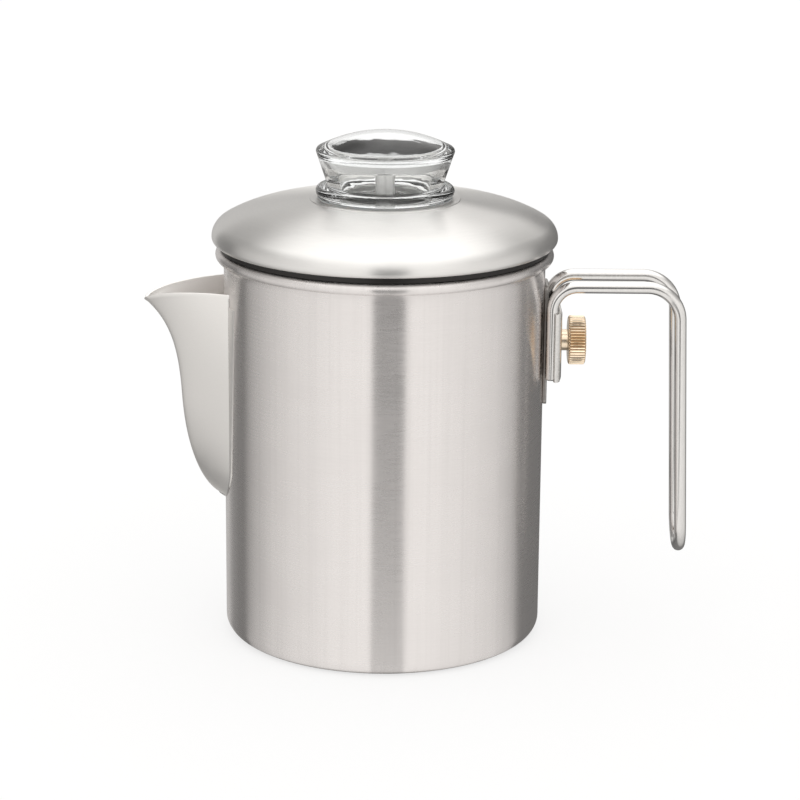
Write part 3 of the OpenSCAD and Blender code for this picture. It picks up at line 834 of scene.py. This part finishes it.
def dome(inset):
    """The lid's skin from its widest line up to the collar's edge."""
    r = crown_r - inset
    seat_deg = math.degrees(math.acos(SEAT_HOLE_R / r))
    return (
        arc(*shoulder_c, SHOULDER_R - inset, 0, SHOULDER_DEG, 18)
        + arc(*haunch_c, HAUNCH_R - inset, SHOULDER_DEG, HAUNCH_DEG, 14)[1:]
        + arc(0, crown_z, r, HAUNCH_DEG, seat_deg, 20)[1:]
    )


roll_x = LID_R - EDGE_ROLL
lid_outline = (
    arc(roll_x, LID_Z, EDGE_ROLL, -90, 0, 12)[:-1]
    + dome(0)
    + dome(LID_T)[::-1]
    + arc(roll_x, LID_Z, EDGE_ROLL - LID_T, 0, -90, 8)[1:]
    + [(HEM_R, LID_Z - EDGE_ROLL + LID_T), (HEM_R, LID_Z - EDGE_ROLL)]
)
lid = lathe("lid_dome", lid_outline, 288, sharp_deg=30)
dress(lid, "lid", "lid_steel", lid_steel, "lid_shell")

RING_R, RING_T, RING_LOW, RING_STEP = INNER_R - 0.5, 0.6, 121.5, 129.85
ring_top = LID_Z - EDGE_ROLL + LID_T
ring_out, ring_in, skirt_in = HEM_R - 0.02, HEM_R - RING_T, RING_R - RING_T
ring_outline = rounded(
    [(skirt_in, RING_LOW), (RING_R, RING_LOW), (RING_R, RING_STEP, 0.1), (ring_out, RING_STEP, 0.5),
     (ring_out, ring_top, 0.1), (ring_in, ring_top, 0.1), (ring_in, RING_STEP + RING_T),
     (skirt_in, RING_STEP + RING_T, 0.5)], 0.2)
lid_ring = lathe("lid_ring", ring_outline)
dress(lid_ring, "lid", "lid_steel", ring_steel_painted_shade, "lid_locating_ring")

COLLAR_R, COLLAR_LOW, COLLAR_T, COLLAR_PITCH = 18.8, 141.2, 0.7, 3.0


def rolled_thread(r, z, turn):
    """The thread rolled into the collar, which the knob's own thread runs in."""
    if r < COLLAR_R + COLLAR_T + 0.1 and COLLAR_LOW + 0.2 < z < SEAT_Z - 0.8:
        phase = ((z - COLLAR_LOW) / COLLAR_PITCH - turn / (2 * math.pi)) % 1
        fade = min(1.0, (z - COLLAR_LOW - 0.2) / 0.6, (SEAT_Z - 0.8 - z) / 0.6)
        return r - 0.6 * fade * max(0.0, math.cos((phase - 0.5) * 2 * math.pi))
    return r


collar_levels = [COLLAR_LOW + 0.25 + 0.25 * i for i in range(17)]
collar_out, seat_low, seat_out = COLLAR_R + COLLAR_T, SEAT_Z - COLLAR_T, SEAT_HOLE_R - 0.02
seat_outline = (
    [(COLLAR_R + 0.1, COLLAR_LOW), (collar_out - 0.1, COLLAR_LOW)]
    + [(collar_out, z) for z in collar_levels if z < seat_low - 0.5]
    + arc(collar_out + 0.5, seat_low - 0.5, 0.5, 180, 90, 4)
    + [(seat_out, seat_low), (seat_out, SEAT_Z - 0.08), (SEAT_HOLE_R - 0.1, SEAT_Z)]
    + arc(COLLAR_R + 0.6, SEAT_Z - 0.6, 0.6, 90, 180, 5)
    + [(COLLAR_R, z) for z in reversed(collar_levels)]
)
lid_seat = lathe("lid_seat", seat_outline, radius_at=rolled_thread)
dress(lid_seat, "lid", "lid_steel", lid_steel, "lid_thread_ring")

# ---- Knob ------------------------------------------------------------------------------------

KNOB_R, FLANGE_R, TOP, WIDE_Z = 22.5, 22.6, 168.0, 161.7
FLANGE_Z, FLANGE_T, FLANGE_EDGE, KNOB_EDGE = 146.9, 3.4, 1.6, 1.1
CROWN_R, WAIST_R, SKIRT_R, SKIRT_Z = 47.3, 18.7, 16.7, 142.0
KNOB_IN_R, KNOB_IN_WIDE, HOLLOW_TOP, HOLLOW_ROUND = 14.9, 18.8, 161.9, 1.8
CEILING_Z, CEILING_R, CEILING_DEG = 164.4, 60.85, 73.27
KNOB_PITCH = 3.0


def thread_radius(r, z, turn):
    """A coarse round thread up the knob's skirt."""
    if SKIRT_R - 0.2 < r < SKIRT_R + 0.2 and SKIRT_Z + 0.5 < z < FLANGE_Z - 0.3:
        phase = ((z - SKIRT_Z) / KNOB_PITCH - turn / (2 * math.pi)) % 1
        fade = min(1.0, (z - SKIRT_Z - 0.5) / 0.6, (FLANGE_Z - 0.3 - z) / 0.6)
        return r + 0.85 * fade * max(0.0, math.cos((phase - 0.5) * 2 * math.pi)) ** 1.5
    return r


flange_x = FLANGE_R - FLANGE_EDGE
hollow_x = KNOB_IN_WIDE - HOLLOW_ROUND
crown_c = TOP - CROWN_R
edge_deg = 63.0
edge_end = KNOB_R - KNOB_EDGE + KNOB_EDGE * math.cos(math.radians(edge_deg))
crown_deg = math.degrees(math.acos(edge_end / CROWN_R))
# the waist's side, from the flange's top to just under the widest line
flange_top = FLANGE_Z + FLANGE_T
side_r, side_z = KNOB_R - 0.08, WIDE_Z - 0.3
waist_turn = rounded([(flange_x, flange_top, 0), (WAIST_R, flange_top, 0.7), (side_r, side_z, 0)], 0)
waist_side = [
    (WAIST_R + (side_r - WAIST_R) * t, flange_top + (side_z - flange_top) * t)
    for t in (0.3, 0.5, 0.7, 0.9)
]
knob_outline = (
    [(KNOB_IN_R + 0.4, SKIRT_Z), (SKIRT_R - 0.3, SKIRT_Z), (SKIRT_R, SKIRT_Z + 0.4)]
    + [(SKIRT_R, SKIRT_Z + 0.4 + (FLANGE_Z - SKIRT_Z - 0.5) * i / 18) for i in range(1, 19)]
    + [(SKIRT_R + 0.1, FLANGE_Z)]
    + arc(flange_x, FLANGE_Z + FLANGE_EDGE, FLANGE_EDGE, -90, 0, 12)
    + arc(flange_x, flange_top - FLANGE_EDGE, FLANGE_EDGE, 0, 90, 12)
    + waist_turn[1:-1]
    + waist_side
    + arc(KNOB_R - KNOB_EDGE, WIDE_Z, KNOB_EDGE, -12, edge_deg, 12)
    + arc(0, crown_c, CROWN_R, crown_deg, 90, 28)[1:-1]
    + [(0, TOP)]
    + arc(0, CEILING_Z - CEILING_R, CEILING_R, 90, CEILING_DEG, 24)
    + arc(hollow_x, HOLLOW_TOP - HOLLOW_ROUND, HOLLOW_ROUND, CEILING_DEG, 0, 12)[1:]
    + [(KNOB_IN_WIDE - 1.3 * k, HOLLOW_TOP - HOLLOW_ROUND - 3.27 * k) for k in (1, 2)]
    + [(KNOB_IN_R + 0.05, flange_top + 0.2), (KNOB_IN_R, flange_top - 0.3)]
    + [(KNOB_IN_R, z) for z in (148, 146, 144, SKIRT_Z + 0.4)]
)
knob = lathe("knob_glass_turned", knob_outline, 240, thread_radius, 60)
dress(knob, "knob", "knob_glass", knob_glass, "glass_knob")

# ---- Pump tube, seen through the knob ----------------------------------------------------------

tube_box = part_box("pump_tube")
tube_low, tube_top = tube_box[0].z / MM, tube_box[1].z / MM
TUBE_R, TUBE_T = 3.2, 0.6
bore_r = TUBE_R - TUBE_T
tube_corners = [(bore_r, tube_low), (TUBE_R, tube_low), (TUBE_R, tube_top), (bore_r, tube_top)]
tube_outline = rounded(tube_corners, 0.2)
tube = lathe("pump_tube_drawn", tube_outline, 96)
dress(tube, "pump", "pump_steel", works_steel, "pump_tube")

# ---- CAD nodes that stay ----------------------------------------------------------------------

WORKS_NODES = (
    "pump_bell", "tube_ferrule", "basket_stop", "basket_cup", "basket_sleeve", "spreader_plate",
    "spreader_collar",
)
KEPT = {"screw_retainer": clamp_steel, "knob_gasket": silicone}
KEPT.update({node: works_steel for node in WORKS_NODES})
for node, material in KEPT.items():
    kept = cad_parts[node]
    kept.data.materials.clear()
    kept.data.materials.append(material)


# ---- Camera -----------------------------------------------------------------------------------

AIM = Vector((0, 0, 0.066))
DISTANCE, ELEVATION = 0.93323, math.radians(16.36)
LOOK_UP, LOOK_RIGHT, ROLL = math.radians(0.708), math.radians(0.333), math.radians(0.4)
camera_data = bpy.data.cameras.new("camera")
camera_data.lens = 126.3
camera_data.sensor_width = 36
camera_data.clip_start, camera_data.clip_end = 0.05, 50
camera = bpy.data.objects.new("camera", camera_data)
bpy.context.scene.collection.objects.link(camera)
back = Vector((0, -math.cos(ELEVATION), math.sin(ELEVATION)))
camera.location = AIM + back * DISTANCE
aimed = (-back).to_track_quat("-Z", "Y").to_matrix()
for angle, axis in ((-LOOK_RIGHT, "Y"), (LOOK_UP, "X"), (ROLL, "Z")):
    aimed = aimed @ Matrix.Rotation(angle, 3, axis)
camera.rotation_mode = "QUATERNION"
camera.rotation_quaternion = aimed.to_quaternion()
bpy.context.scene.camera = camera

# ---- Studio -----------------------------------------------------------------------------------

# Brightness of the studio by direction, as seen in the metal: 0 is the camera's side and +90 the
# handle's. Low is what stands on the table, high is what hangs over it.
LOW_RING = [
    (-180, 0.44), (-165, 0.52), (-152, 0.60), (-142, 0.27), (-119, 0.20), (-112, 0.47), (-100, 0.60),
    (-85, 0.77), (-60, 0.89), (-30, 0.98), (0, 1.02), (30, 1.00), (60, 0.93), (85, 0.84), (104, 0.66),
    (111, 0.52), (118, 0.22), (148, 0.19), (165, 0.15), (176, 0.36), (180, 0.44),
]
HIGH_RING = [
    (-180, 1.30), (-174, 1.00), (-167, 0.50), (-150, 0.38), (-125, 0.36), (-100, 0.42), (-70, 0.62),
    (-40, 0.95), (0, 1.10), (40, 0.95), (70, 0.62), (100, 0.44), (125, 0.38), (148, 0.40),
    (158, 0.72), (168, 1.15), (180, 1.30),
]


GAP_DEG, GAP_HALF_DEG, GAP_SOFT_DEG = 3.6, 11.8, 2.0
GAP_TONE, PLAIN_WHITE = (0.1, 0.1, 0.1, 1), (1.0, 0.998, 0.995, 1)


def ring_shade(n, azimuth, stops):
    """A soft brightness ramp over a turn in degrees."""
    factor = n.remap(azimuth, -180.0, 180.0, 0.0, 1.0, smooth=False)
    ramp = n.add("ShaderNodeValToRGB", Fac=factor)
    ramp.color_ramp.interpolation = "EASE"
    elements = ramp.color_ramp.elements
    while len(elements) > 1:
        elements.remove(elements[-1])
    for i, (deg, value) in enumerate(stops):
        element = elements[0] if i == 0 else elements.new((deg + 180) / 360)
        element.position = (deg + 180) / 360
        element.color = (value, value * 0.985, value * 0.965, 1)
    return ramp.outputs[0]


def azimuth_of(n, x, y):
    """Degrees round from the camera's side, positive towards the handle."""
    return n.math("MULTIPLY", n.math("ARCTAN2", x, n.math("MULTIPLY", y, -1.0)), 180 / math.pi)


def mirrored_azimuth(n, azimuth, away):
    """The direction, in degrees, that a ray from the front takes when the pot's wall throws it to a
    place on the table. It is found by a few rounds of its own equation."""
    lean = n.math("DIVIDE", POT_R * MM, n.math("MAXIMUM", away, POT_R * MM))
    turn = azimuth
    for _ in range(4):
        half = n.math("SINE", n.math("MULTIPLY", turn, math.pi / 360))
        swing = n.math("ARCSINE", n.math("MULTIPLY", half, lean))
        turn = n.math("ADD", azimuth, n.math("MULTIPLY", swing, 180 / math.pi))
    # past straight behind, the same screens go on round
    return n.math("WRAP", turn, 180.0, -180.0)


def front_gap(n, azimuth):
    """1 in the narrow dark gap between the two front screens, with soft edges."""
    away = n.math("ABSOLUTE", n.math("SUBTRACT", azimuth, GAP_DEG))
    return n.remap(away, GAP_HALF_DEG - GAP_SOFT_DEG, GAP_HALF_DEG + GAP_SOFT_DEG, 1.0, 0.0)


def make_world():
    """Plain white to the eye and to matt things, and the studio's screens to metal."""
    world = bpy.data.worlds.new("studio")
    bpy.context.scene.world = world
    world.use_nodes = True
    n = Nodes(world.node_tree)
    direction = n.add("ShaderNodeTexCoord").outputs["Generated"]
    parts = n.add("ShaderNodeSeparateXYZ", Vector=direction).outputs
    azimuth = azimuth_of(n, parts[0], parts[1])
    gap = n.math("MULTIPLY", front_gap(n, azimuth), 0.92)
    low = n.mix(gap, ring_shade(n, azimuth, LOW_RING), GAP_TONE)
    high = ring_shade(n, azimuth, HIGH_RING)
    around = n.mix(n.remap(parts[2], 0.22, 0.40), low, high)
    studio = n.mix(n.remap(parts[2], 0.58, 0.84), around, (1.40, 1.39, 1.37, 1))
    path = n.add("ShaderNodeLightPath").outputs
    plain = n.math("MAXIMUM", path["Is Camera Ray"], path["Is Diffuse Ray"])
    plain = n.math("MAXIMUM", plain, path["Is Transmission Ray"])
    colour = n.mix(plain, studio, PLAIN_WHITE)
    shader = n.add("ShaderNodeBackground", Color=colour, Strength=1.12)
    n.add("ShaderNodeOutputWorld", Surface=shader)


def make_floor():
    """A pale table top. In the metal it is as bright as the screens that stand around it."""
    mesh = bpy.data.meshes.new("floor")
    half = 9.0
    corners = [(-half, -half, 0), (half, -half, 0), (half, half, 0), (-half, half, 0)]
    mesh.from_pydata(corners, [], [(0, 1, 2, 3)])
    floor = bpy.data.objects.new("floor", mesh)
    bpy.context.scene.collection.objects.link(floor)
    floor.location.z = -0.0002
    material, n = new_material("table_top")
    place = n.add("ShaderNodeTexCoord").outputs["Object"]
    parts = n.add("ShaderNodeSeparateXYZ", Vector=place).outputs
    away = n.add("ShaderNodeVectorMath", _operation="LENGTH", i0=place).outputs[1]
    azimuth = mirrored_azimuth(n, azimuth_of(n, parts[0], parts[1]), away)
    ring = ring_shade(n, azimuth, LOW_RING)
    strength = n.remap(away, 0.05, 0.45, 0.32, 0.92, smooth=False)
    seen = n.mix(n.math("MULTIPLY", front_gap(n, azimuth), strength), ring, GAP_TONE)
    # painted shadow: a dark contact line on the table where the pot stands, seen only in the metal's
    # reflections
    seen = n.mix(n.remap(away, 0.0497, 0.0513), (0.09, 0.085, 0.08, 1), seen)
    matt = n.add("ShaderNodeBsdfDiffuse", Color=(0.93, 0.93, 0.93, 1))
    bright = n.add("ShaderNodeEmission", Color=PLAIN_WHITE, Strength=1.0)
    pale = n.add("ShaderNodeMixShader", Fac=0.7, i1=matt, i2=bright)
    glow = n.add("ShaderNodeEmission", Color=seen, Strength=1.05)
    path = n.add("ShaderNodeLightPath").outputs
    shader = n.add("ShaderNodeMixShader", Fac=path["Is Glossy Ray"], i1=pale, i2=glow)
    n.add("ShaderNodeOutputMaterial", Surface=shader)
    mesh.materials.append(material)


make_world()
make_floor()
bpy.context.scene.view_settings.view_transform = "Standard"
